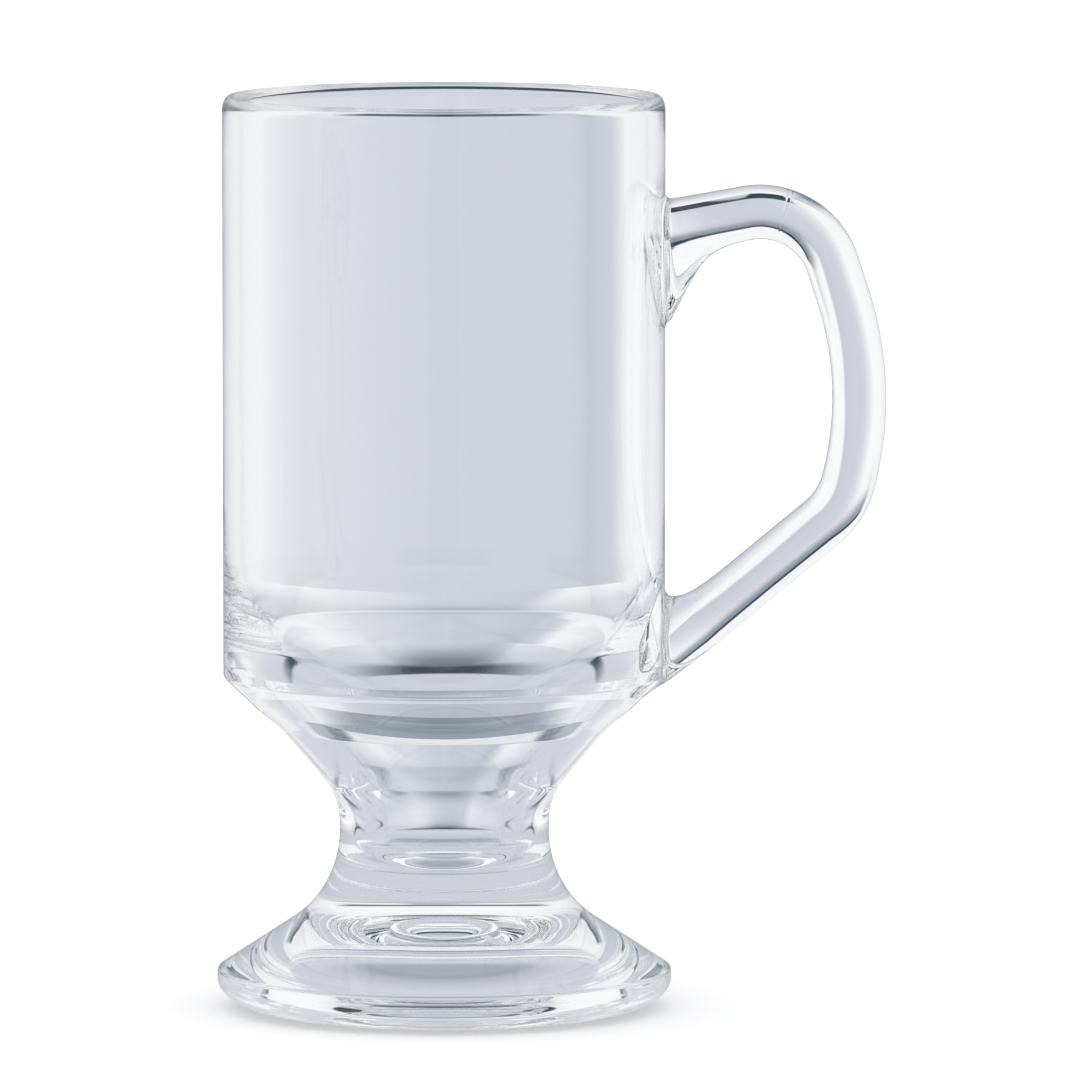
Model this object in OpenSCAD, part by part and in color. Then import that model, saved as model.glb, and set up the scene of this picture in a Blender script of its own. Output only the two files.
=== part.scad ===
/* [Bowl] */
// Outer diameter of the straight bowl
bowl_d = 73; // [64:1:80]
// Height of the straight bowl, from its lower corner up to the lip
bowl_h = 96; // [88:1:120]
// Thickness of the bowl's wall
wall_t = 2.6; // [2:0.1:3.4]
// Height over which the lip is rounded
lip_h = 2.4; // [1.5:0.1:3]
// Height of the chamfer under the bowl's lower corner
chamfer_h = 5.3; // [4:0.1:7]
// Width of that chamfer, measured inwards
chamfer_w = 5.5; // [4:0.1:7]
// Height of the flatter band between the chamfer and the funnel
ledge_h = 3.2; // [2:0.1:4]
// Width of that band, measured inwards
ledge_w = 4; // [2.5:0.1:5]
// Radius that softens the edges of the bowl's base
base_edge_r = 1.2; // [0.5:0.1:2]

/* [Drinking space] */
// Diameter of the shelf edge, where the bowl turns into the well
shelf_d = 57.6; // [52:0.2:60]
// Height of the shelf edge above the bowl's lower corner
shelf_rise = 1; // [0.5:0.1:4]
// Height above the shelf edge at which the wall starts to lean in
lean_h = 9.5; // [7:0.5:14]
// Radius of the hollow curve between the wall and the shelf edge
lean_r = 40; // [20:1:50]
// Diameter at which the slope of the bowl's floor would meet the well
well_d = 21.6; // [20:0.2:24]
// Height above the table at which that slope would meet the well
well_mouth_z = 35.8; // [34:0.2:38]
// Radius of the bend from the bowl's floor down into the well
well_mouth_r = 13; // [8:0.5:16]
// Diameter of the well at its tip
well_tip_d = 18.6; // [16:0.2:20]
// Radius round the bottom of the well
well_bottom_r = 7; // [4:0.2:8]
// Height of the well's lowest point above the table
well_floor_z = 22.2; // [21:0.2:25]

/* [Stem] */
// Diameter of the waist
waist_d = 34.6; // [31:0.2:38]
// Height at which the slope of the funnel would meet the waist
funnel_foot_z = 34.9; // [33:0.1:37]
// Radius of the hollow curve from the waist up into the funnel
funnel_r = 12; // [8:0.5:14]
// Height of the bowl's lower corner above the table
corner_z = 55; // [52:0.5:60]
// Thickness of glass between the well and the joint of stem and foot
stem_floor_t = 4; // [3:0.5:6]

/* [Foot] */
// Largest diameter of the foot
foot_d = 75.2; // [68:0.2:84]
// Height of the foot's upper edge above the table
foot_edge_z = 6.4; // [5:0.1:8]
// Radius that softens that edge
foot_edge_r = 1; // [0.5:0.1:2]
// Height of the upright band round the foot, with its edge
foot_band_h = 1.6; // [1:0.1:2.5]
// Height at which the slope of the foot would meet the waist
bell_top_z = 19.6; // [18:0.1:21]
// Radius of the hollow curve from the waist down into the foot
bell_r = 18; // [13:0.5:20]
// Outer diameter of the ring that the mug rests on
rest_d = 58; // [52:0.5:64]
// Width of that ring
rest_w = 1.6; // [1:0.1:3]
// Depth of the hollow under the foot
hollow_h = 13; // [9:0.5:14]

/* [Handle] */
// Distance from the mug's axis to the outermost point of the handle
handle_reach = 72.9; // [66:0.1:82]
// Thickness of the grip, measured across the finger gap
grip_t = 8.85; // [7:0.05:10]
// Width of the grip, seen from behind the handle
grip_w = 11.5; // [9:0.5:14]
// Height of the crown of the handle above the bowl's lower corner
crown_rise = 78.5; // [74:0.1:82]
// Height of the grip's widest point above the bowl's lower corner
grip_rise = 47.6; // [42:0.1:54]
// Height of the bend below the grip above the bowl's lower corner
bend_rise = 28.1; // [22:0.1:34]
// Height of the upper root's middle above the bowl's lower corner
upper_root_rise = 74.2; // [68:0.1:77]
// Height of the lower root's middle above the bowl's lower corner
lower_root_rise = 4; // [3.6:0.1:9]
// Radius of the crown's bend
crown_r = 12.6; // [9:0.1:15]
// Radius of the long bow of the grip
bow_r = 55; // [40:1:70]
// Radius of the bend below the grip
bend_r = 13; // [8:0.5:16]
// Extra width of each root at the wall
root_extra_w = 1; // [0:0.5:4]
// Extra thickness of the upper root at the wall, on the side of the finger gap
upper_root_extra_t = 11; // [6:0.5:15]
// Extra thickness of the lower root at the wall, on the side of the finger gap
lower_root_extra_t = 6; // [3:0.5:9]
// Length over which a root flares
root_len = 4.2; // [3:0.1:6]

/* [Hidden] */
glass = [0.80, 0.87, 0.90];
round_faces = 96;
oval_steps = 14;
section_step = 6;
grip_step = 7;

bowl_r = bowl_d / 2;
bore_r = bowl_r - wall_t;
waist_r = waist_d / 2;
foot_r = foot_d / 2;
rest_r = rest_d / 2;
mug_h = corner_z + bowl_h;
lip_z = mug_h - lip_h;
chamfer_z = corner_z - chamfer_h;
ledge_z = chamfer_z - ledge_h;
shelf_z = corner_z + shelf_rise;
foot_top_z = well_floor_z - stem_floor_t;
foot_band_z = foot_edge_z - foot_band_h;

// In cross section the grip is a squared oval: its power at the widest point, and towards the crown and the roots
grip_power = 4;
root_power = 2.7;
// At the grip's widest point the oval's middle lies nearer the finger gap, by this share of half its thickness
grip_lean_share = 0.15;
// A root's tail thins out from the grip with this power
tail_power = 5;
grip_sides = 20;
// The flare of a root falls off with this power of the distance from the wall
flare_power = 1.5;
// How far the handle's centre line runs on inside the wall, before it is cut to fit
root_sink = 3;
// Places of the centre line's corners, as shares of the grip's reach beyond the wall
crown_reach_share = 0.757;
grip_reach_share = 1.072;
bend_reach_share = 0.913;
// Slopes of the centre line where it enters the wall, as rise over run shares
upper_sink_share = 0.16;
lower_sink_share = 0.6;
// Spacing of the rings at a root and along the grip, as shares of the root's length
root_gap_share = 0.3;
grip_gap_share = 2;

function unit(v) = v / norm(v);
function flat(v) = [v[0], v[1]];

// Angle by which a line of [x, y, radius] points turns at one of them
function turn_at(p, i) = acos(max(-1, min(1, unit(flat(p[i]) - flat(p[i - 1])) * unit(flat(p[i + 1]) - flat(p[i])))));

// Length that a corner's radius asks for on each side of it
function wanted_cut(p, i) = p[i][2] > 0 ? p[i][2] * tan(turn_at(p, i) / 2) : 0;

// Length cut from each side of a corner, so that neighbouring corners share their edge
function corner_cut(p, i) =
    let (
        own = wanted_cut(p, i),
        before = norm(flat(p[i]) - flat(p[i - 1])),
        after = norm(flat(p[i + 1]) - flat(p[i]))
    )
    min(own, before * own / (own + wanted_cut(p, i - 1)), after * own / (own + wanted_cut(p, i + 1)));

// Arc that replaces one corner of a line of [x, y, radius] points, in steps of some degrees
function corner_arc(p, i, step) =
    let (
        into = unit(flat(p[i]) - flat(p[i - 1])),
        out = unit(flat(p[i + 1]) - flat(p[i])),
        side = into[0] * out[1] - into[1] * out[0] > 0 ? 1 : -1,
        turn = turn_at(p, i),
        cut = corner_cut(p, i),
        r = cut / tan(turn / 2),
        start = flat(p[i]) - into * cut,
        centre = start + side * r * [-into[1], into[0]],
        from = atan2(start[1] - centre[1], start[0] - centre[0]),
        steps = max(2, ceil(turn / step))
    )
    [for (k = [0 : steps]) centre + r * [cos(from + side * turn * k / steps), sin(from + side * turn * k / steps)]];

// A line of [x, y, radius] points with its corners rounded
function rounded(p, step = section_step) =
    [for (i = [0 : len(p) - 1])
        for (q = wanted_cut(p, i) > 0 ? corner_arc(p, i, step) : [flat(p[i])]) q];

// Part of an ellipse about a centre, with half axes a and b
function oval(centre, a, b, from, to) =
    [for (k = [0 : oval_steps])
        centre + [a * cos(from + (to - from) * k / oval_steps), b * sin(from + (to - from) * k / oval_steps)]];

outer_line = rounded([
    [foot_r, foot_band_z, 0],
    [foot_r, foot_edge_z, foot_edge_r],
    [waist_r, bell_top_z, bell_r],
    [waist_r, funnel_foot_z, funnel_r],
    [bowl_r - chamfer_w - ledge_w, ledge_z, base_edge_r],
    [bowl_r - chamfer_w, chamfer_z, base_edge_r],
    [bowl_r, corner_z, base_edge_r],
    [bowl_r, lip_z, 0]
]);

inner_line = rounded([
    [bore_r, lip_z, 0],
    [bore_r, shelf_z + lean_h, lean_r],
    [shelf_d / 2, shelf_z, base_edge_r],
    [well_d / 2, well_mouth_z, well_mouth_r],
    [well_tip_d / 2, well_floor_z, well_bottom_r],
    [0, well_floor_z, 0]
]);

// Half of the mug's section, from the hollow under the foot out, up and back down to the well
half_section = concat(
    oval([0, 0], rest_r - rest_w, hollow_h, 90, 0),
    oval([rest_r, foot_band_z], foot_r - rest_r, foot_band_z, -90, 0),
    outer_line,
    oval([bowl_r - wall_t / 2, lip_z], wall_t / 2, lip_h, 0, 180),
    inner_line
);

module turned(low, high) {
    rotate_extrude($fn = round_faces)
        intersection() {
            polygon(half_section);
            translate([0, low]) square([bowl_r + foot_r, high - low]);
        }
}

module bowl() {
    color(glass) turned(ledge_z, mug_h);
}

module stem() {
    color(glass) turned(foot_top_z, ledge_z);
}

module foot() {
    color(glass) turned(0, foot_top_z);
}

reach = handle_reach - bowl_r - grip_t / 2;
upper_root_z = corner_z + upper_root_rise;
lower_root_z = corner_z + lower_root_rise;

// Corners of the handle's centre line, from the upper root round to the lower one
handle_line = [
    [bowl_r - root_sink, upper_root_z - root_sink * upper_sink_share, 0],
    [bowl_r + reach * crown_reach_share, corner_z + crown_rise, crown_r],
    [bowl_r + reach * grip_reach_share, corner_z + grip_rise, bow_r],
    [bowl_r + reach * bend_reach_share, corner_z + bend_rise, bend_r],
    [bowl_r, lower_root_z, root_len],
    [bowl_r - root_sink * 3, lower_root_z - root_sink * 3 * lower_sink_share, 0]
];

// Points along a straight stretch, without its end, closer together where it meets the wall
function stretch(a, b) =
    let (
        gap_share = min(a[0], b[0]) < bowl_r + root_len ? root_gap_share : grip_gap_share,
        n = max(1, round(norm(b - a) / (root_len * gap_share)))
    )
    [for (k = [0 : n - 1]) a + (b - a) * k / n];

handle_corners = rounded(handle_line, grip_step);
handle_end = len(handle_corners) - 1;
handle_path = [
    for (i = [0 : handle_end - 1]) for (q = stretch(handle_corners[i], handle_corners[i + 1])) q,
    handle_corners[handle_end]
];
last_ring = len(handle_path) - 1;

// How far a root has flared at a point: 1 at the wall, nothing along the grip
function flare(p) = exp(-pow(max(0, p[0] - bowl_r) / root_len, flare_power));

// One ring of the handle's skin, square to the centre line, with its inner side drawn along the wall at a root
function ring(i) =
    let (
        p = handle_path[i],
        along = unit(handle_path[min(i + 1, last_ring)] - handle_path[max(i - 1, 0)]),
        across = [-along[1], along[0]] * grip_t / 2,
        draw = flare(p) * (p[1] > corner_z + grip_rise ? -upper_root_extra_t : lower_root_extra_t),
        half_w = (grip_w + root_extra_w * flare(p)) / 2,
        away_share = min(1, abs(p[1] - corner_z - grip_rise) / (crown_rise - grip_rise)),
        power = grip_power + (root_power - grip_power) * away_share,
        lean_share = grip_lean_share * (1 - away_share)
    )
    [for (k = [0 : grip_sides - 1])
        let (
            c = cos(360 * k / grip_sides),
            s = sin(360 * k / grip_sides),
            u = sign(c) * pow(abs(c), 2 / power),
            v = sign(s) * pow(abs(s), 2 / power) * half_w,
            w = u - lean_share * (1 - u * u)
        )
        [p[0] + across[0] * w, v, p[1] + across[1] * w + draw * pow(max(0, -u), tail_power)]];

// Number of a point of the skin
function at(i, k) = i * grip_sides + k % grip_sides;

module grip_skin() {
    polyhedron(
        [for (i = [0 : last_ring]) for (q = ring(i)) q],
        [
            [for (k = [0 : grip_sides - 1]) at(0, k)],
            for (i = [0 : last_ring - 1]) for (k = [0 : grip_sides - 1])
                [at(i, k), at(i + 1, k), at(i + 1, k + 1)],
            for (i = [0 : last_ring - 1]) for (k = [0 : grip_sides - 1])
                [at(i, k), at(i + 1, k + 1), at(i, k + 1)],
            [for (k = [grip_sides - 1 : -1 : 0]) at(last_ring, k)]
        ]
    );
}

// The space inside the bowl's outer skin, which the handle is cut to fit
module bowl_core() {
    rotate_extrude($fn = round_faces)
        intersection() {
            polygon(concat([[0, foot_band_z]], outer_line, [[0, lip_z]]));
            translate([0, ledge_z]) square([bowl_r, lip_z - ledge_z]);
        }
}

module handle() {
    color(glass)
        difference() {
            grip_skin();
            bowl_core();
        }
}

bowl();
stem();
foot();
handle();
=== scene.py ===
"""A clear footed glass mug on a white studio floor.

The glass is one continuous body in four pieces: bowl, stem, foot and handle. Where two pieces meet, both have
the same closing face in a see-through material, so light crosses it as it crosses fused glass.
"""

import math

import bmesh
import bpy
import numpy as np
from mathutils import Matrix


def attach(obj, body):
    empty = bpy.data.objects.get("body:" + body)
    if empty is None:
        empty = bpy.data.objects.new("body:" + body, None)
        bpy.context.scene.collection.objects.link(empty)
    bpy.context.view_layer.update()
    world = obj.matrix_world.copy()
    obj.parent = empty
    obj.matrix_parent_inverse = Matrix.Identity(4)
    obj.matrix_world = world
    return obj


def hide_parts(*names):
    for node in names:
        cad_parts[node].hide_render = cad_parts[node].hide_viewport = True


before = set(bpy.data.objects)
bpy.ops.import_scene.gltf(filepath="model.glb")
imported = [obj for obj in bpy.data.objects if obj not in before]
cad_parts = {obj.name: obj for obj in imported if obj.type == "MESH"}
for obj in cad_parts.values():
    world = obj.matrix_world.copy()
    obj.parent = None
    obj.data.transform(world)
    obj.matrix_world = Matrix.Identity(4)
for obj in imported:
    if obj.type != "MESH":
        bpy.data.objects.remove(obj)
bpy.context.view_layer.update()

# Sizes in millimetres, as in the part's source

BOWL_R, WALL_T, MUG_H = 36.5, 2.6, 151.0
LIP_H = 2.4
CORNER_Z, CHAMFER_H, CHAMFER_W, LEDGE_H, LEDGE_W = 55.0, 5.3, 5.5, 3.2, 4.0
BASE_EDGE_R = 1.2
SHELF_R, SHELF_RISE, LEAN_H, LEAN_R = 28.8, 1.0, 9.5, 40.0
WELL_R, WELL_MOUTH_Z, WELL_MOUTH_R = 10.8, 35.8, 13.0
WELL_TIP_R, WELL_BOTTOM_R, WELL_FLOOR_Z = 9.3, 7.0, 22.2
WAIST_R, FUNNEL_FOOT_Z, FUNNEL_R, STEM_FLOOR_T = 17.3, 34.9, 12.0, 4.0
FOOT_R, FOOT_EDGE_Z, FOOT_EDGE_R, FOOT_BAND_H = 37.6, 6.4, 1.0, 1.6
BELL_TOP_Z, BELL_R, REST_R, REST_W, HOLLOW_H = 19.6, 18.0, 29.0, 1.6, 13.0
HANDLE_REACH, GRIP_T, GRIP_W = 72.9, 8.85, 11.5
CROWN_RISE, GRIP_RISE, BEND_RISE, UPPER_ROOT_RISE, LOWER_ROOT_RISE = 78.5, 47.6, 28.1, 74.2, 4.0
CROWN_R, BOW_R, BEND_R = 12.6, 55.0, 13.0
ROOT_EXTRA_W, UPPER_ROOT_EXTRA_T, LOWER_ROOT_EXTRA_T, ROOT_LEN = 1.0, 11.0, 6.0, 4.2
GRIP_POWER, ROOT_POWER, GRIP_LEAN, TAIL_POWER = 4.0, 2.7, 0.15, 5.0
ROOT_SINK, LOWER_SINK, FLARE_POWER = 3.0, 9.0, 1.5
CROWN_SHARE, GRIP_SHARE, BEND_SHARE = 0.757, 1.072, 0.913
UPPER_SINK_SHARE, LOWER_SINK_SHARE = 0.16, 0.6
WALL_BELOW = 2

BORE_R = BOWL_R - WALL_T
LIP_Z = MUG_H - LIP_H
CHAMFER_Z = CORNER_Z - CHAMFER_H
LEDGE_Z = CHAMFER_Z - LEDGE_H
SHELF_Z = CORNER_Z + SHELF_RISE
FOOT_TOP_Z = WELL_FLOOR_Z - STEM_FLOOR_T
FOOT_BAND_Z = FOOT_EDGE_Z - FOOT_BAND_H

# How finely the looks are meshed: lengths in millimetres, angles in degrees

MM = 0.001
ROUND_STEPS = 360
OVAL_STEPS = 28
ARC_STEP = 2.5
LONGEST_EDGE = 8
GRIP_SIDES = 72
GRIP_RING_GAP = 0.8
FILLET_R = 1.3
FILLET_STEPS = 9
WALL_ROUNDS = 3
SINK_DEPTH = 0.9
SHARP_ANGLE = 35
SAME_PLACE, ON_WALL = 1e-6, 1e-4

# The glass, in metres: its slow waves, its polish and its tint

GLASS_IOR = 1.52
GLASS_TINT = (0.962, 0.970, 0.980, 1)
WAVE_SCALE, WAVE_HEIGHT = 45.0, 0.00008
POLISH_SCALE, POLISH_LOW, POLISH_HIGH, POLISH_ROUGHNESS = 400.0, 0.3, 0.7, 0.02

# A fine mould line runs across the handle's crown: the plane it lies in, its half width and how far it stands up

LINE_TILT, LINE_AT, LINE_W, LINE_SHARE = math.radians(17.8), 0.0132, 0.0003, 0.22
LINE_FROM, LINE_FULL = BOWL_R * MM, (BOWL_R + 8) * MM

# Which material a face has, and which of the two skins it comes from before the pieces are split

GLASS_INDEX, JOINT_INDEX = 0, 1
ROUND_INDEX, HANDLE_INDEX = 0, 1


def unit(v):
    return v / np.linalg.norm(v)


def turn_at(line, i):
    """The angle by which a line turns at one of its points."""
    into, out = unit(line[i][:2] - line[i - 1][:2]), unit(line[i + 1][:2] - line[i][:2])
    return math.acos(max(-1.0, min(1.0, float(into @ out))))


def wanted_cut(line, i):
    """How much of each edge a corner's own radius would take up."""
    return line[i][2] * math.tan(turn_at(line, i) / 2) if line[i][2] > 0 else 0.0


def rounded(points, step=ARC_STEP):
    """A line of (x, y, radius) points with its corners rounded, neighbouring corners sharing their edge."""
    line = [np.array(p, float) for p in points]
    out = []
    for i, p in enumerate(line):
        own = wanted_cut(line, i)
        if own <= 0:
            out.append(p[:2])
            continue
        turn = turn_at(line, i)
        before, after = np.linalg.norm(p[:2] - line[i - 1][:2]), np.linalg.norm(line[i + 1][:2] - p[:2])
        cut_before, cut_after = wanted_cut(line, i - 1), wanted_cut(line, i + 1)
        cut = min(own, before * own / (own + cut_before), after * own / (own + cut_after))
        r = cut / math.tan(turn / 2)
        into, leave = unit(p[:2] - line[i - 1][:2]), unit(line[i + 1][:2] - p[:2])
        side = 1 if into[0] * leave[1] - into[1] * leave[0] > 0 else -1
        centre = p[:2] - into * cut + side * r * np.array([-into[1], into[0]])
        start = p[:2] - into * cut - centre
        first = math.atan2(start[1], start[0])
        steps = max(2, math.ceil(math.degrees(turn) / step))
        for k in range(steps + 1):
            a = first + side * turn * k / steps
            out.append(centre + r * np.array([math.cos(a), math.sin(a)]))
    return out


def oval(centre, a, b, start, end):
    """Points on an oval of half widths a and b, from one angle to another."""
    angles = np.radians(np.linspace(start, end, OVAL_STEPS + 1))
    return [np.array([centre[0] + a * math.cos(t), centre[1] + b * math.sin(t)]) for t in angles]


def cut_at(line, z):
    """The line with a point added wherever it crosses a height."""
    out = [line[0]]
    for p, q in zip(line, line[1:]):
        if (p[1] - z) * (q[1] - z) < 0:
            out.append(p + (q - p) * (z - p[1]) / (q[1] - p[1]))
        out.append(q)
    return out


outer_line = rounded([
    (FOOT_R, FOOT_BAND_Z, 0),
    (FOOT_R, FOOT_EDGE_Z, FOOT_EDGE_R),
    (WAIST_R, BELL_TOP_Z, BELL_R),
    (WAIST_R, FUNNEL_FOOT_Z, FUNNEL_R),
    (BOWL_R - CHAMFER_W - LEDGE_W, LEDGE_Z, BASE_EDGE_R),
    (BOWL_R - CHAMFER_W, CHAMFER_Z, BASE_EDGE_R),
    (BOWL_R, CORNER_Z, BASE_EDGE_R),
    (BOWL_R, LIP_Z, 0),
])
inner_line = rounded([
    (BORE_R, LIP_Z, 0),
    (BORE_R, SHELF_Z + LEAN_H, LEAN_R),
    (SHELF_R, SHELF_Z, BASE_EDGE_R),
    (WELL_R, WELL_MOUTH_Z, WELL_MOUTH_R),
    (WELL_TIP_R, WELL_FLOOR_Z, WELL_BOTTOM_R),
    (0, WELL_FLOOR_Z, 0),
])
half_section = (
    oval((0, 0), REST_R - REST_W, HOLLOW_H, 90, 0)
    + oval((REST_R, FOOT_BAND_Z), FOOT_R - REST_R, FOOT_BAND_Z, -90, 0)
    + outer_line[1:]
    + oval((BOWL_R - WALL_T / 2, LIP_Z), WALL_T / 2, LIP_H, 0, 180)[1:]
    + inner_line[1:]
)


def split_long(line, longest):
    """The line with points added along its long straight parts."""
    out = [line[0]]
    for p, q in zip(line, line[1:]):
        n = max(1, math.ceil(np.linalg.norm(q - p) / longest))
        out += [p + (q - p) * k / n for k in range(1, n + 1)]
    return out


def mesh_object(name, verts, faces):
    mesh = bpy.data.meshes.new(name)
    mesh.from_pydata([tuple(v) for v in verts], [], faces)
    mesh.update()
    obj = bpy.data.objects.new(name, mesh)
    bpy.context.collection.objects.link(obj)
    return obj


def turned_body():
    """The whole of the round glass, turned about the mug's axis."""
    line = split_long(cut_at(cut_at(half_section, LEDGE_Z), FOOT_TOP_Z), LONGEST_EDGE)
    verts, faces, rows = [], [], []
    for r, z in line:
        if r < SAME_PLACE:
            rows.append([len(verts)] * ROUND_STEPS)
            verts.append((0, 0, z * MM))
            continue
        rows.append(list(range(len(verts), len(verts) + ROUND_STEPS)))
        for k in range(ROUND_STEPS):
            a = 2 * math.pi * (k + 0.5) / ROUND_STEPS
            verts.append((r * MM * math.cos(a), r * MM * math.sin(a), z * MM))
    for low, high in zip(rows, rows[1:]):
        for k in range(ROUND_STEPS):
            j = (k + 1) % ROUND_STEPS
            face = [low[k], low[j], high[j], high[k]]
            faces.append([v for n, v in enumerate(face) if v != face[n - 1]])
    return mesh_object("body", verts, faces)


reach = HANDLE_REACH - BOWL_R - GRIP_T / 2
upper_root_z = CORNER_Z + UPPER_ROOT_RISE
lower_root_z = CORNER_Z + LOWER_ROOT_RISE
handle_path = split_long(rounded([
    (BOWL_R - ROOT_SINK, upper_root_z - ROOT_SINK * UPPER_SINK_SHARE, 0),
    (BOWL_R + reach * CROWN_SHARE, CORNER_Z + CROWN_RISE, CROWN_R),
    (BOWL_R + reach * GRIP_SHARE, CORNER_Z + GRIP_RISE, BOW_R),
    (BOWL_R + reach * BEND_SHARE, CORNER_Z + BEND_RISE, BEND_R),
    (BOWL_R, lower_root_z, ROOT_LEN),
    (BOWL_R - LOWER_SINK, lower_root_z - LOWER_SINK * LOWER_SINK_SHARE, 0),
]), GRIP_RING_GAP)


def flare(x):
    """How far the handle's section has grown into a root, from 0 to 1 at the wall."""
    return math.exp(-(max(0.0, x - BOWL_R) / ROOT_LEN) ** FLARE_POWER)


def grip_ring(i):
    """One ring of the handle's skin, square to its centre line. At a root its inner side is drawn along the wall."""
    p = handle_path[i]
    last = len(handle_path) - 1
    along = unit(handle_path[min(i + 1, last)] - handle_path[max(i - 1, 0)])
    across = np.array([-along[1], along[0]]) * GRIP_T / 2
    spread = flare(p[0])
    draw = spread * (-UPPER_ROOT_EXTRA_T if p[1] > CORNER_Z + GRIP_RISE else LOWER_ROOT_EXTRA_T)
    half_w = (GRIP_W + ROOT_EXTRA_W * spread) / 2
    away = min(1.0, abs(p[1] - CORNER_Z - GRIP_RISE) / (CROWN_RISE - GRIP_RISE))
    power = GRIP_POWER + (ROOT_POWER - GRIP_POWER) * away
    lean = GRIP_LEAN * (1 - away)
    ring = []
    for k in range(GRIP_SIDES):
        c, s = math.cos(2 * math.pi * k / GRIP_SIDES), math.sin(2 * math.pi * k / GRIP_SIDES)
        u = math.copysign(abs(c) ** (2 / power), c)
        v = math.copysign(abs(s) ** (2 / power), s) * half_w
        w = u - lean * (1 - u * u)
        ring.append((p[0] + across[0] * w, v, p[1] + across[1] * w + draw * max(0.0, -u) ** TAIL_POWER))
    return np.array(ring)


wall_line = np.array([p for p in outer_line if p[1] > LEDGE_Z - WALL_BELOW])


def from_wall(points):
    """Distance of each point from the bowl's outer wall, positive outside, and the way straight out from the wall."""
    r = np.hypot(points[:, 0], points[:, 1])
    q = np.stack([r, points[:, 2]], 1)
    a, b = wall_line[:-1], wall_line[1:]
    edge = b - a
    t = np.clip(((q[:, None] - a) * edge).sum(2) / (edge**2).sum(1), 0, 1)
    gap = q[:, None] - (a + edge * t[..., None])
    size = np.linalg.norm(gap, axis=2)
    near = size.argmin(1)
    rows = np.arange(len(q))
    out = np.stack([edge[near, 1], -edge[near, 0]], 1)
    out /= np.linalg.norm(out, axis=1)[:, None]
    side = np.sign((gap[rows, near] * out).sum(1))
    away = gap[rows, near] * side[:, None]
    length = np.linalg.norm(away, axis=1)[:, None]
    away = np.where(length > ON_WALL, away / np.maximum(length, ON_WALL), out)
    way = np.stack([away[:, 0] * points[:, 0] / r, away[:, 0] * points[:, 1] / r, away[:, 1]], 1)
    return side * size[rows, near], way


def at_distance(lines, distance):
    """The ring where lines, each running out from the wall, pass a distance from it."""
    ring = []
    for line in lines:
        d, _ = from_wall(line)
        i = int(np.argmax(d > distance))
        t = (distance - d[i - 1]) / (d[i] - d[i - 1]) if i else 0.0
        ring.append(line[max(i - 1, 0)] * (1 - t) + line[i] * t)
    return np.array(ring)


def root_rings(rings):
    """The rings nearest the wall, made again to follow it, with a fillet all round. rings run out from the wall."""
    lines = np.array(rings).transpose(1, 0, 2)
    made = []
    for k in range(FILLET_STEPS + 1):
        a = math.pi / 2 * k / FILLET_STEPS
        d = FILLET_R * (1 - math.sin(a))
        ring = at_distance(lines, d)
        _, way = from_wall(ring)
        spread = ring - ring.mean(0)
        spread -= (spread * way).sum(1)[:, None] * way
        spread /= np.linalg.norm(spread, axis=1)[:, None]
        ring = ring + spread * FILLET_R * (1 - math.cos(a))
        for _ in range(WALL_ROUNDS):
            now, way = from_wall(ring)
            ring = ring + way * (d - now)[:, None]
        made.append(ring)
    _, way = from_wall(made[-1])
    made.append(made[-1] - way * SINK_DEPTH)
    return made[::-1]


def grip_skin():
    """The handle with its roots let into the wall, as a closed skin."""
    rings = [grip_ring(i) for i in range(len(handle_path))]
    clear = [float(from_wall(ring)[0].min()) > FILLET_R + GRIP_RING_GAP / 2 for ring in rings]
    first, last = clear.index(True), len(clear) - 1 - clear[::-1].index(True)
    upper = root_rings(rings[: first + 1])
    lower = root_rings(rings[last:][::-1])
    rings = upper + rings[first : last + 1] + lower[::-1]
    verts = [v * MM for ring in rings for v in ring]
    n = GRIP_SIDES
    faces = [
        [i * n + k, (i + 1) * n + k, (i + 1) * n + (k + 1) % n, i * n + (k + 1) % n]
        for i in range(len(rings) - 1)
        for k in range(n)
    ]
    for i, order in ((0, 1), (len(rings) - 1, -1)):
        centre = len(verts)
        verts.append(rings[i].mean(0) * MM)
        faces += [[centre, i * n + k, i * n + (k + 1) % n][::order] for k in range(n)]
    return mesh_object("skin", verts, faces)


def set_slots(obj, index):
    """Marks all the faces of a skin, so that they can be told apart once it is combined."""
    for mat in (glass, joint):
        obj.data.materials.append(mat)
    for face in obj.data.polygons:
        face.material_index = index


def combined(a, b, operation):
    """The exact union or overlap of two closed meshes, as a new mesh."""
    step = a.modifiers.new("combine", "BOOLEAN")
    step.object, step.operation, step.solver = b, operation, "EXACT"
    mesh = bpy.data.meshes.new_from_object(a.evaluated_get(bpy.context.evaluated_depsgraph_get()))
    a.modifiers.remove(step)
    return mesh


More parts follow.
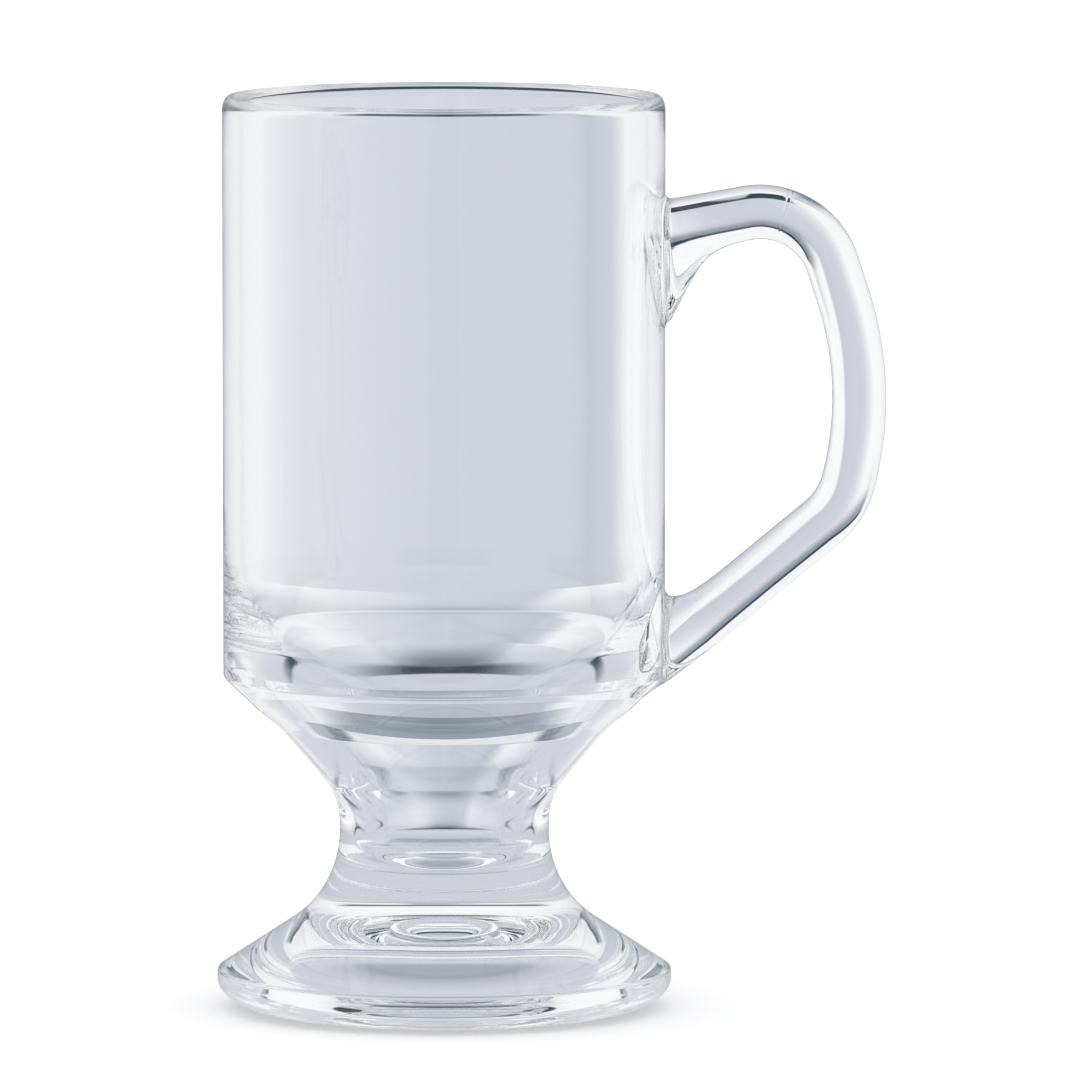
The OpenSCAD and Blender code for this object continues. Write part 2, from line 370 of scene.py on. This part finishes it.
class Tree:
    """A few short ways to add nodes to a node tree."""

    def __init__(self, tree):
        self.nodes, self.links = tree.nodes, tree.links

    def put(self, socket, value):
        if isinstance(value, bpy.types.NodeSocket):
            self.links.new(value, socket)
        else:
            socket.default_value = value

    def maths(self, operation, *values):
        n = self.nodes.new("ShaderNodeMath")
        n.operation = operation
        for socket, value in zip(n.inputs, values):
            self.put(socket, value)
        return n.outputs[0]

    def step(self, value, low, high, kind="SMOOTHSTEP"):
        """0 below low and 1 above high, smooth between them."""
        n = self.nodes.new("ShaderNodeMapRange")
        n.interpolation_type = kind
        self.put(n.inputs["Value"], value)
        self.put(n.inputs["From Min"], low)
        self.put(n.inputs["From Max"], high)
        return n.outputs["Result"]

    def band(self, value, low, high, soft):
        """1 between low and high, fading to 0 on both sides."""
        return self.maths("MULTIPLY", self.step(value, low - soft, low), self.step(value, high + soft, high))

    def noise(self, place, scale):
        n = self.nodes.new("ShaderNodeTexNoise")
        self.put(n.inputs["Vector"], place)
        self.put(n.inputs["Scale"], scale)
        self.put(n.inputs["Detail"], 1.0)
        return n.outputs["Fac"]

    def mix(self, factor, a, b):
        n = self.nodes.new("ShaderNodeMix")
        n.data_type = "RGBA"
        self.put(n.inputs["Factor"], factor)
        colours = [socket for socket in n.inputs if socket.type == "RGBA"]
        self.put(colours[0], a)
        self.put(colours[1], b)
        return next(socket for socket in n.outputs if socket.type == "RGBA")


def glass_material():
    """Clear pressed glass: slight waves and one line from the mould, and a polish that isn't quite even."""
    mat = bpy.data.materials.new("clear_glass")
    mat.use_nodes = True
    tree = Tree(mat.node_tree)
    shader = tree.nodes["Principled BSDF"]
    shader.inputs["Transmission Weight"].default_value = 1.0
    shader.inputs["IOR"].default_value = GLASS_IOR
    shader.inputs["Base Color"].default_value = GLASS_TINT
    place = tree.nodes.new("ShaderNodeTexCoord").outputs["Object"]
    polish = tree.step(tree.noise(place, POLISH_SCALE), POLISH_LOW, POLISH_HIGH)
    tree.put(shader.inputs["Roughness"], tree.maths("MULTIPLY", polish, POLISH_ROUGHNESS))
    parts = tree.nodes.new("ShaderNodeSeparateXYZ")
    tree.put(parts.inputs[0], place)
    x, _, z = parts.outputs
    level = tree.maths("MULTIPLY", x, math.cos(LINE_TILT))
    rise = tree.maths("MULTIPLY", z, math.sin(LINE_TILT))
    line_gap = tree.maths("ABSOLUTE", tree.maths("SUBTRACT", tree.maths("SUBTRACT", level, rise), LINE_AT))
    mould_line = tree.maths("MULTIPLY", tree.step(line_gap, LINE_W, 0.0), tree.step(x, LINE_FROM, LINE_FULL))
    bump = tree.nodes.new("ShaderNodeBump")
    bump.inputs["Distance"].default_value = WAVE_HEIGHT
    waves = tree.noise(place, WAVE_SCALE)
    tree.put(bump.inputs["Height"], tree.maths("MULTIPLY_ADD", mould_line, LINE_SHARE, waves))
    tree.put(shader.inputs["Normal"], bump.outputs["Normal"])
    return mat


def joint_material():
    """For the faces where two pieces of the glass meet: light crosses them as if they weren't there."""
    mat = bpy.data.materials.new("fused_joint")
    mat.use_nodes = True
    tree = Tree(mat.node_tree)
    tree.nodes.remove(tree.nodes["Principled BSDF"])
    clear = tree.nodes.new("ShaderNodeBsdfTransparent")
    tree.put(tree.nodes["Material Output"].inputs["Surface"], clear.outputs[0])
    return mat


glass, joint = glass_material(), joint_material()

body, skin = turned_body(), grip_skin()
set_slots(body, ROUND_INDEX)
set_slots(skin, HANDLE_INDEX)
whole = combined(body, skin, "UNION")
overlap = combined(body, skin, "INTERSECT")
for obj in (body, skin):
    bpy.data.objects.remove(obj)

whole.shade_smooth()
whole.set_sharp_from_angle(angle=math.radians(SHARP_ANGLE))
normals = np.empty(len(whole.loops) * 3, np.float32)
whole.corner_normals.foreach_get("vector", normals)
kept = whole.attributes.new("kept_normal", "FLOAT_VECTOR", "CORNER")
kept.data.foreach_set("vector", normals)


def piece_of(face):
    """The name of the piece that a face of the whole glass belongs to."""
    z = face.calc_center_median().z / MM
    if face.material_index == HANDLE_INDEX:
        return "handle"
    if z > LEDGE_Z:
        return "bowl"
    return "stem" if z > FOOT_TOP_Z else "foot"


def joint_faces(bm, height):
    """Closes a piece at a height, from edge to edge of its open rim there."""
    open_edges = [e for e in bm.edges if e.is_boundary]
    rim = [e for e in open_edges if all(abs(v.co.z - height * MM) < SAME_PLACE for v in e.verts)]
    before = set(bm.faces)
    widths = [e.verts[0].co.xy.length for e in rim]
    if max(widths) - min(widths) > MM:
        bmesh.ops.bridge_loops(bm, edges=rim)
    else:
        bmesh.ops.edgeloop_fill(bm, edges=rim)
    return [f for f in bm.faces if f not in before]


def make_piece(name):
    """One piece of the glass, closed where it meets its neighbours, with the smooth shading of the whole."""
    bm = bmesh.new()
    bm.from_mesh(whole)
    layer = bm.loops.layers.float_vector["kept_normal"]
    bmesh.ops.delete(bm, geom=[f for f in bm.faces if piece_of(f) != name], context="FACES")
    made = []
    if name in ("bowl", "stem"):
        made += joint_faces(bm, LEDGE_Z)
    if name in ("stem", "foot"):
        made += joint_faces(bm, FOOT_TOP_Z)
    if name in ("bowl", "handle"):
        before = set(bm.faces)
        bm.from_mesh(footprint)
        made += [f for f in bm.faces if f not in before]
        bmesh.ops.remove_doubles(bm, verts=bm.verts, dist=SAME_PLACE * 2)
        made = [f for f in made if f.is_valid]
    for f in bm.faces:
        f.material_index, f.smooth = GLASS_INDEX, True
    for f in made:
        f.material_index = JOINT_INDEX
    bmesh.ops.recalc_face_normals(bm, faces=bm.faces)
    for f in made:
        for loop in f.loops:
            loop[layer] = f.normal
    mesh = bpy.data.meshes.new(name + "_glass")
    bm.to_mesh(mesh)
    bm.free()
    wanted = np.empty(len(mesh.loops) * 3, np.float32)
    mesh.attributes["kept_normal"].data.foreach_get("vector", wanted)
    mesh.normals_split_custom_set(wanted.reshape(-1, 3).tolist())
    mesh.attributes.remove(mesh.attributes["kept_normal"])
    for mat in (glass, joint):
        mesh.materials.append(mat)
    obj = bpy.data.objects.new(name + "_glass", mesh)
    bpy.context.collection.objects.link(obj)
    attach(obj, "root")
    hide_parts(name)


def footprint_mesh():
    """The part of the bowl's outer wall that the handle's roots cover."""
    bm = bmesh.new()
    bm.from_mesh(overlap)
    bmesh.ops.delete(bm, geom=[f for f in bm.faces if f.material_index == HANDLE_INDEX], context="FACES")
    mesh = bpy.data.meshes.new("footprint")
    bm.to_mesh(mesh)
    bm.free()
    return mesh


footprint = footprint_mesh()
for name in ("bowl", "stem", "foot", "handle"):
    make_piece(name)

# Studio: the camera sees a white floor and surround. The glass bends the light of another set, which repeats at each
# quarter turn, so that every side of the mug has the same light. Straight behind the mug is a pale grey-blue sweep,
# lighter on the left, with a faint light core and a white screen on both sides. Low down the sweep has a dark hem.
# Above the table's far edge it darkens into a dark slot, and over that are more screen, a dark flag and a grey
# ceiling. What the outside of the glass mirrors is a dim room. Angles are from straight behind and from level.

WHITE = (1.0, 1.0, 1.0, 1)
SWEEP = (0.655, 0.67, 0.735, 1)
SWEEP_SHADE = (0.605, 0.62, 0.69, 1)
SWEEP_CORE = (0.69, 0.706, 0.775, 1)
DUSK = (0.27, 0.31, 0.37, 1)
CEILING = (0.60, 0.63, 0.68, 1)
FRONT = (0.30, 0.34, 0.38, 1)
# This dark tone is also the colour of the mug's shadow painted on the table that the glass shows
SLOT_AND_SHADOW = (0.012, 0.035, 0.05, 1)
SWEEP_EVERY = math.radians(90)
SWEEP_FADE, SWEEP_LEFT = math.radians(-0.5), math.radians(-10)
SWEEP_EDGE, SWEEP_SOFT, SHADE_FROM = math.radians(5.5), math.radians(3.5), math.radians(1)
CORE_AT, CORE_W = math.radians(-0.46), math.radians(0.5)
DUSK_LOW, DUSK_HIGH = math.radians(-2), math.radians(6)
SLOT_LOW, SLOT_HIGH, SLOT_SOFT = math.radians(8.5), math.radians(9.8), math.radians(1.5)
SLOT_EDGE, SLOT_END = math.radians(22), math.radians(8)
CEILING_LOW, CEILING_HIGH = math.radians(40), math.radians(60)
FLAG_LOW, FLAG_HIGH, FLAG_SOFT = math.radians(50), math.radians(60), math.radians(2)
HEM_LOW, HEM_HIGH, HEM_SOFT = math.radians(-33), math.radians(-22), math.radians(1.5)
HEM_LEFT, HEM_RIGHT, HEM_END = math.radians(-5), math.radians(4), math.radians(1.5)

# Painted shadow of the mug on the table, as the glass shows it: painted shade under the middle of the foot, and a
# painted bow of shadow behind the foot

FOOT_SHADE, FOOT_SHADE_IN, FOOT_SHADE_OUT = 0.4, 0.010, 0.024
BOW_AT, BOW_BEND, BOW_IN, BOW_OUT = 0.117, 26.0, 0.012, 0.018
BOW_MIDDLE, BOW_END, SOFT_BOW = 0.012, 0.046, 0.009
TAIL_SHADE, TAIL_END, TAIL_IN, TAIL_OUT = 0.8, 0.068, 0.004, 0.028

# The floor as the camera sees it, and the one that the glass shows, which fades into its surround

DISC_STEPS = 64
FLOOR_R, FLOOR_Z = 3.0, -0.0001
FLOOR_TONE, FLOOR_ROUGHNESS, FLOOR_GLOW = (0.85, 0.85, 0.86, 1), 0.9, 0.3
GLASS_FLOOR_R, GLASS_FLOOR_FADE, GLASS_FLOOR_Z = 0.22, 0.10, -0.0002


def quarter_angle(tree, x, y):
    """The angle of a place or direction from the nearest quarter turn's middle."""
    return tree.maths("WRAP", tree.maths("ARCTAN2", x, y), SWEEP_EVERY / 2, -SWEEP_EVERY / 2)


def sweep_colour(tree, aside):
    """The sweep's tone: lighter to its left, darker up to its right edge, with the white screens on both sides."""
    sweep = tree.mix(tree.step(aside, SHADE_FROM, SWEEP_EDGE), SWEEP, SWEEP_SHADE)
    sweep = tree.mix(tree.step(aside, SWEEP_FADE, SWEEP_LEFT, "LINEAR"), sweep, WHITE)
    core = tree.step(tree.maths("ABSOLUTE", tree.maths("SUBTRACT", aside, CORE_AT)), CORE_W, 0.0)
    sweep = tree.mix(core, sweep, SWEEP_CORE)
    return tree.mix(tree.step(aside, SWEEP_EDGE, SWEEP_EDGE + SWEEP_SOFT), sweep, WHITE)


def studio_world():
    """White for the camera and the floor, the set behind the mug for the glass, the room for its outside gloss."""
    world = bpy.data.worlds.new("studio")
    bpy.context.scene.world = world
    world.use_nodes = True
    tree = Tree(world.node_tree)
    place = tree.nodes.new("ShaderNodeTexCoord")
    parts = tree.nodes.new("ShaderNodeSeparateXYZ")
    tree.put(parts.inputs[0], place.outputs["Generated"])
    x, y, z = parts.outputs
    aside = quarter_angle(tree, x, y)
    height = tree.maths("ARCSINE", z)
    sweep = sweep_colour(tree, aside)
    middle = tree.step(tree.maths("ABSOLUTE", aside), SLOT_EDGE + SLOT_END, SLOT_EDGE)
    dusk = tree.mix(tree.maths("MULTIPLY", tree.step(height, DUSK_LOW, DUSK_HIGH), middle), sweep, DUSK)
    above = tree.mix(tree.step(height, SLOT_HIGH, SLOT_HIGH + SLOT_SOFT), dusk, WHITE)
    above = tree.mix(tree.step(height, CEILING_LOW, CEILING_HIGH), above, CEILING)
    slot = tree.maths("MULTIPLY", tree.band(height, SLOT_LOW, SLOT_HIGH, SLOT_SOFT), middle)
    flag = tree.band(height, FLAG_LOW, FLAG_HIGH, FLAG_SOFT)
    hem = tree.band(height, HEM_LOW, HEM_HIGH, HEM_SOFT)
    hem = tree.maths("MULTIPLY", hem, tree.band(aside, HEM_LEFT, HEM_RIGHT, HEM_END))
    surround = tree.mix(tree.maths("MAXIMUM", tree.maths("MAXIMUM", slot, flag), hem), above, SLOT_AND_SHADOW)
    ray = tree.nodes.new("ShaderNodeLightPath")
    surround = tree.mix(ray.outputs["Is Reflection Ray"], surround, FRONT)
    plain = tree.maths("MAXIMUM", ray.outputs["Is Camera Ray"], ray.outputs["Is Diffuse Ray"])
    tree.put(tree.nodes["Background"].inputs["Color"], tree.mix(plain, surround, WHITE))


def floor_disc(name, radius, z):
    turns = [2 * math.pi * k / DISC_STEPS for k in range(DISC_STEPS)]
    ring = [(radius * math.cos(a), radius * math.sin(a), z) for a in turns]
    obj = mesh_object(name, ring, [list(range(DISC_STEPS))])
    mat = bpy.data.materials.new(name)
    mat.use_nodes = True
    obj.data.materials.append(mat)
    return obj, Tree(mat.node_tree)


def painted_mug_shade(tree, x, y, radius):
    """How much painted shadow of the mug darkens each place of the table, from none to all."""
    x, y = tree.maths("ABSOLUTE", x), tree.maths("ABSOLUTE", y)
    under = tree.maths("MULTIPLY", tree.step(radius, FOOT_SHADE_OUT, FOOT_SHADE_IN), FOOT_SHADE)
    ahead, aside = tree.maths("MAXIMUM", x, y), tree.maths("MINIMUM", x, y)
    bow_line = tree.maths("ADD", ahead, tree.maths("MULTIPLY", tree.maths("POWER", aside, 2), BOW_BEND))
    near = tree.step(bow_line, BOW_AT - BOW_IN - SOFT_BOW, BOW_AT - BOW_IN)
    bow = tree.maths("MULTIPLY", near, tree.step(bow_line, BOW_AT + BOW_OUT, BOW_AT))
    bow = tree.maths("MULTIPLY", bow, tree.step(aside, BOW_END, BOW_MIDDLE))
    tail = tree.maths("MULTIPLY", near, tree.step(bow_line, BOW_AT + TAIL_END, BOW_AT))
    tail = tree.maths("MULTIPLY", tail, tree.step(aside, TAIL_OUT, TAIL_IN))
    tail = tree.maths("MULTIPLY", tail, TAIL_SHADE)
    return tree.maths("MAXIMUM", under, tree.maths("MAXIMUM", bow, tail))


def studio_floor():
    """The floor as the camera sees it, and the same floor as the glass sees it."""
    seen, tree = floor_disc("floor", FLOOR_R, FLOOR_Z)
    shader = tree.nodes["Principled BSDF"]
    shader.inputs["Base Color"].default_value = FLOOR_TONE
    shader.inputs["Roughness"].default_value = FLOOR_ROUGHNESS
    shader.inputs["Specular IOR Level"].default_value = 0.0
    shader.inputs["Emission Color"].default_value = WHITE
    shader.inputs["Emission Strength"].default_value = FLOOR_GLOW
    seen.visible_transmission = seen.visible_glossy = False
    bent, tree = floor_disc("floor_through_glass", GLASS_FLOOR_R, GLASS_FLOOR_Z)
    place = tree.nodes.new("ShaderNodeNewGeometry")
    parts = tree.nodes.new("ShaderNodeSeparateXYZ")
    tree.put(parts.inputs[0], place.outputs["Position"])
    x, y = parts.outputs[:2]
    radius = tree.maths("SQRT", tree.maths("ADD", tree.maths("POWER", x, 2), tree.maths("POWER", y, 2)))
    far = sweep_colour(tree, quarter_angle(tree, x, y))
    table = tree.mix(tree.step(radius, GLASS_FLOOR_FADE, GLASS_FLOOR_R), SWEEP, far)
    tree.nodes.remove(tree.nodes["Principled BSDF"])
    glow = tree.nodes.new("ShaderNodeEmission")
    tree.put(tree.nodes["Material Output"].inputs["Surface"], glow.outputs[0])
    # The mug's shadow is painted here: the table's tone goes to the dark tone where the mug would keep light off
    tree.put(glow.inputs["Color"], tree.mix(painted_mug_shade(tree, x, y, radius), table, SLOT_AND_SHADOW))
    bent.visible_camera = bent.visible_diffuse = bent.visible_shadow = False


studio_floor()
studio_world()

# The camera at the photograph's viewing angle, and enough bounces for light that is caught inside the glass

CAMERA_AT, CAMERA_TILT = (0.01584, -2.0, 0.27933), math.radians(84.236)
SENSOR_W, LENS = 36.0, 405.7
BOUNCES, CLEAR_BOUNCES = 96, 32

camera = bpy.data.objects.new("camera", bpy.data.cameras.new("camera"))
bpy.context.collection.objects.link(camera)
camera.location = CAMERA_AT
camera.rotation_euler = (CAMERA_TILT, 0, 0)
camera.data.sensor_width = SENSOR_W
camera.data.lens = LENS
bpy.context.scene.camera = camera

scene = bpy.context.scene
scene.view_settings.view_transform = "Standard"
scene.cycles.max_bounces = scene.cycles.transmission_bounces = scene.cycles.glossy_bounces = BOUNCES
scene.cycles.transparent_max_bounces = CLEAR_BOUNCES
